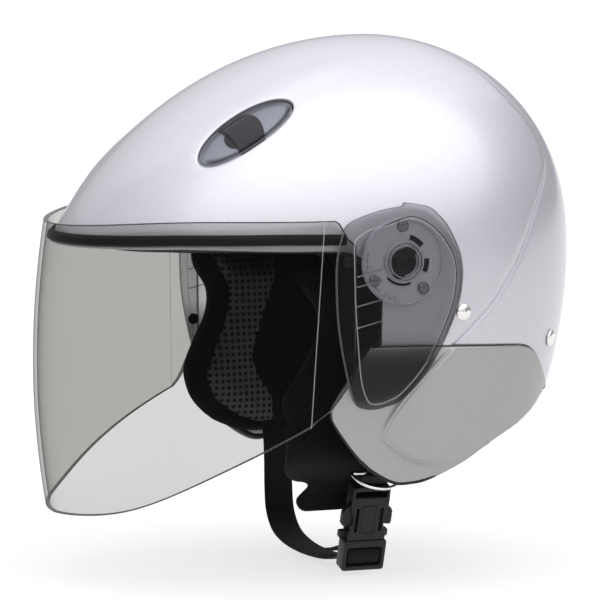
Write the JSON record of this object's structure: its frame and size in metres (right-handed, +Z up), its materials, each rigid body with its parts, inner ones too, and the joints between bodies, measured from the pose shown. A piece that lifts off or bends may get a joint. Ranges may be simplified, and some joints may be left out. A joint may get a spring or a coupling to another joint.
{
  "type": "open face motorcycle helmet",
  "caption": "Open face motorcycle helmet with a hinged wrap-round clear visor, crown vents, padded lining and a chin strap with a side-release buckle.",
  "frame": {"origin": "midway between the two visor pivots, on their common axis", "axes": "-Y is straight ahead for the wearer, +X is the wearer's left, +Z is up"},
  "size_m": [0.272, 0.299, 0.2984],
  "materials": {
    "shell_paint": "gloss metallic silver over moulded ABS",
    "panel_paint": "satin metallic silver over moulded ABS",
    "trim_rubber": "matt",
    "foam": "expanded polystyrene",
    "lining_fabric": "brushed knit and mesh",
    "webbing": "woven polyester",
    "smoke_plastic": "polished smoked polycarbonate",
    "clear_plastic": "polished clear polycarbonate",
    "black_plastic": "fine moulded grain",
    "steel": "polished"
  },
  "bodies": {
    "shell_body": {"outer_shell": "shell_paint", "side_panel_left": "panel_paint", "side_panel_right": "panel_paint", "opening_trim_left": "trim_rubber", "opening_trim_right": "trim_rubber", "rear_trim": "trim_rubber", "brow_seal": "trim_rubber", "eps_liner": "foam", "crown_lining": "lining_fabric", "cheek_pad_left": "lining_fabric", "cheek_pad_right": "lining_fabric", "neck_roll": "lining_fabric", "vent_tray_left": "shell_paint", "vent_tray_right": "shell_paint", "vent_duct_left": "black_plastic", "vent_duct_right": "black_plastic", "vent_cover_left": "smoke_plastic", "vent_cover_right": "smoke_plastic", "pivot_base_left": "black_plastic", "pivot_base_right": "black_plastic", "pivot_hub_left": "black_plastic", "pivot_hub_right": "black_plastic", "base_screw_1_left": "steel", "base_screw_1_right": "steel", "base_screw_2_left": "steel", "base_screw_2_right": "steel", "base_screw_3_left": "steel", "base_screw_3_right": "steel", "strap_rivet_left": "steel", "strap_rivet_right": "steel", "rear_rivet_left": "steel", "rear_rivet_right": "steel", "strap_hanger_left": "steel", "strap_hanger_right": "steel", "chin_strap_left": "webbing", "chin_strap_right": "webbing", "strap_pad": "lining_fabric", "buckle_housing": "black_plastic", "ring_loop": "webbing"},
    "visor_body": {"visor": "clear_plastic", "side_cover_left": "smoke_plastic", "side_cover_right": "smoke_plastic", "cover_screw_upper_left": "steel", "cover_screw_upper_right": "steel", "cover_screw_lower_left": "steel", "cover_screw_lower_right": "steel"},
    "insert_body": {"buckle_insert": "black_plastic", "strap_tail": "webbing", "strap_flap": "webbing"},
    "front_prong_body": {"buckle_prong_front": "black_plastic"},
    "rear_prong_body": {"buckle_prong_rear": "black_plastic"},
    "ring_body": {"lock_ring": "steel"}
  },
  "joints": [
    {"name": "visor_hinge", "type": "hinge", "parent": "shell_body", "child": "visor_body", "pos_m": [0, 0, 0], "axis": [-1, 0, 0], "range_deg": [0, 75]},
    {"name": "buckle_release", "type": "slide", "parent": "shell_body", "child": "insert_body", "axis": [-0.309, 0, -0.9511], "range_m": [0, 0.024]},
    {"name": "front_prong_press", "type": "hinge", "parent": "insert_body", "child": "front_prong_body", "pos_m": [0.05895, -0.0015, -0.15747], "axis": [-0.9511, 0, 0.309], "range_deg": [0, 7], "stiffness_Nm_per_rad": 0.05},
    {"name": "rear_prong_press", "type": "hinge", "parent": "insert_body", "child": "rear_prong_body", "pos_m": [0.05895, 0.0135, -0.15747], "axis": [0.9511, 0, -0.309], "range_deg": [0, 7], "stiffness_Nm_per_rad": 0.05},
    {"name": "ring_swing", "type": "hinge", "parent": "shell_body", "child": "ring_body", "pos_m": [0.0845, 0.001, -0.1208], "axis": [0, 1, 0], "range_deg": [0, 60]}
  ]
}
